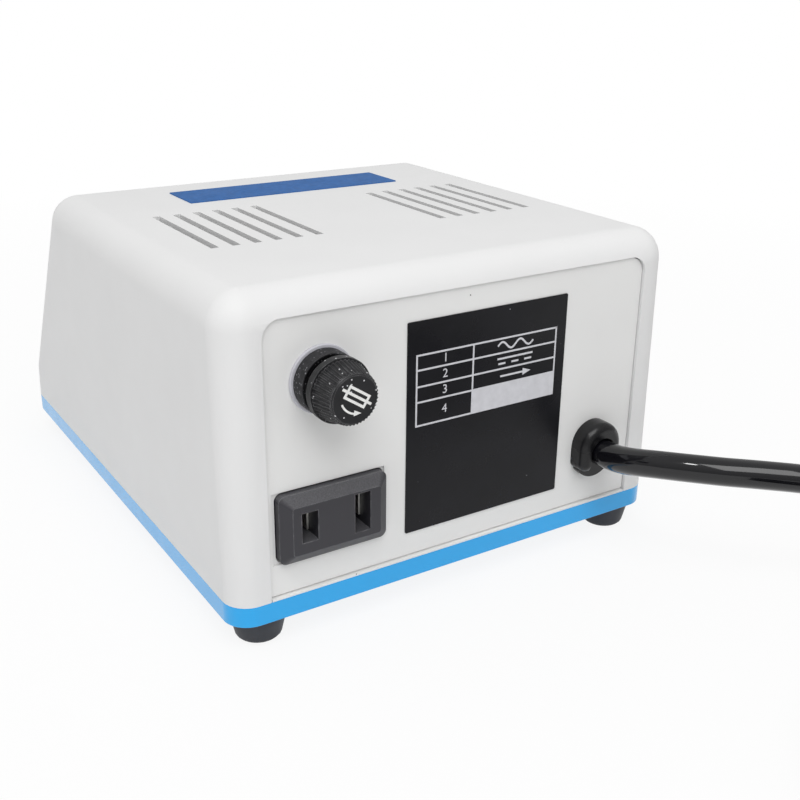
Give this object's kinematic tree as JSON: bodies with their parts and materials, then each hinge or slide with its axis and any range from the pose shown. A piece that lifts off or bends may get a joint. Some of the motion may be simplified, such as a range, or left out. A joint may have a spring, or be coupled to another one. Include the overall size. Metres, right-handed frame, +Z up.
{
  "type": "dental micromotor control box",
  "caption": "Mains-powered bench control box for a dental micromotor, with sloped control front, vented top, fused rear panel with accessory outlet, rubber feet and a coiled lead.",
  "frame": {"origin": "on the ground under the middle of the box, with the controls and fuse cap counted in its depth and the free lead left out", "axes": "+Z up, controls face -Y, rear panel with fuse, outlet and lead faces +Y, +X to the right of a person who faces the controls"},
  "size_m": [0.1534, 0.3332, 0.0794],
  "materials": {
    "shell": "satin moulded light grey-white",
    "panel": "satin light grey-white",
    "base": "satin sky blue",
    "blue_film": "matt printed film",
    "plate_film": "matt black printed film",
    "foot_rubber": "matt dark grey",
    "black_plastic": "satin black with fine texture",
    "outlet_plastic": "satin dark grey",
    "cord": "glossy black sheath",
    "tie": "matt black",
    "steel": "plated",
    "washer_nylon": "pale nylon",
    "brass": "plain",
    "glass": "clear",
    "core_iron": "varnished sheet stack",
    "bobbin": "cream",
    "copper": "enamelled wire",
    "board": "green solder mask",
    "component_black": "moulded",
    "capacitor": "sleeved dark blue",
    "sink_metal": "black anodised",
    "terminal_green": "moulded green",
    "pot_metal": "plated dull",
    "knob": "fine fluted black",
    "white_mark": "white inlay",
    "rocker_red": "glossy red",
    "switch_body": "blue moulded",
    "lamp_green": "translucent green"
  },
  "bodies": {
    "case": {"base_tray": "base", "top_shell": "shell", "rear_panel": "panel", "rating_plate": "plate_film", "top_decal": "blue_film", "control_overlay": "blue_film", "foot_rear_left": "foot_rubber", "foot_rear_right": "foot_rubber", "foot_front_left": "foot_rubber", "foot_front_right": "foot_rubber", "case_screws": "steel", "fuse_washer": "washer_nylon", "fuse_holder_body": "black_plastic", "fuse_holder_nut": "black_plastic", "fuse_terminals": "brass", "outlet_body": "outlet_plastic", "outlet_contacts": "brass", "strain_relief_body": "black_plastic", "strain_relief_cap": "black_plastic", "cord_tail": "cord", "cord_lead": "cord", "cord_coil": "cord", "cord_tie": "tie", "plug_body": "black_plastic", "plug_blades": "brass", "transformer_core": "core_iron", "transformer_bobbin": "bobbin", "transformer_winding": "copper", "transformer_frame": "steel", "transformer_screws": "steel", "circuit_board": "board", "board_screws": "steel", "filter_capacitors": "capacitor", "rectifier_bridge": "component_black", "heat_sink": "sink_metal", "power_transistor": "component_black", "terminal_block": "terminal_green", "speed_pot": "pot_metal", "pot_nut": "steel", "power_switch_housing": "black_plastic", "power_switch_terminals": "brass", "direction_switch": "switch_body", "direction_nut": "steel", "mode_switch": "switch_body", "mode_nut": "steel", "socket_shell": "steel", "socket_insert": "black_plastic", "socket_contacts": "brass", "socket_nut": "steel", "pilot_lamp": "lamp_green"},
    "speed_control": {"speed_knob": "knob", "knob_pointer": "white_mark", "pot_shaft": "steel"},
    "power_rocker": {"power_rocker": "rocker_red"},
    "direction_lever": {"direction_lever": "steel"},
    "mode_lever": {"mode_lever": "steel"},
    "fuse_carrier": {"fuse_link": "glass", "fuse_end_caps": "steel"},
    "fuse_cap": {"fuse_cap": "black_plastic"}
  },
  "joints": [
    {"name": "speed_knob_turn", "type": "hinge", "parent": "case", "child": "speed_control", "pos_m": [0.028, -0.06858, 0.05602], "axis": [0, 0.8302, -0.5574], "range_deg": [0, 280]},
    {"name": "power_rocker_tilt", "type": "hinge", "parent": "case", "child": "power_rocker", "pos_m": [-0.036, -0.05665, 0.05764], "axis": [1, 0, 0], "range_deg": [0, 18]},
    {"name": "direction_lever_tilt", "type": "hinge", "parent": "case", "child": "direction_lever", "pos_m": [-0.01, -0.05831, 0.05876], "axis": [1, 0, 0], "range_deg": [0, 22]},
    {"name": "mode_lever_tilt", "type": "hinge", "parent": "case", "child": "mode_lever", "pos_m": [-0.01, -0.07141, 0.03925], "axis": [1, 0, 0], "range_deg": [0, 22]},
    {"name": "fuse_withdraw", "type": "slide", "parent": "case", "child": "fuse_carrier", "axis": [0, 1, 0], "range_m": [0, 0.034]},
    {"name": "fuse_cap_turn", "type": "hinge", "parent": "fuse_carrier", "child": "fuse_cap", "pos_m": [0.0371, 0.07225, 0.0593], "axis": [0, 1, 0], "range_deg": [0, 60]}
  ]
}
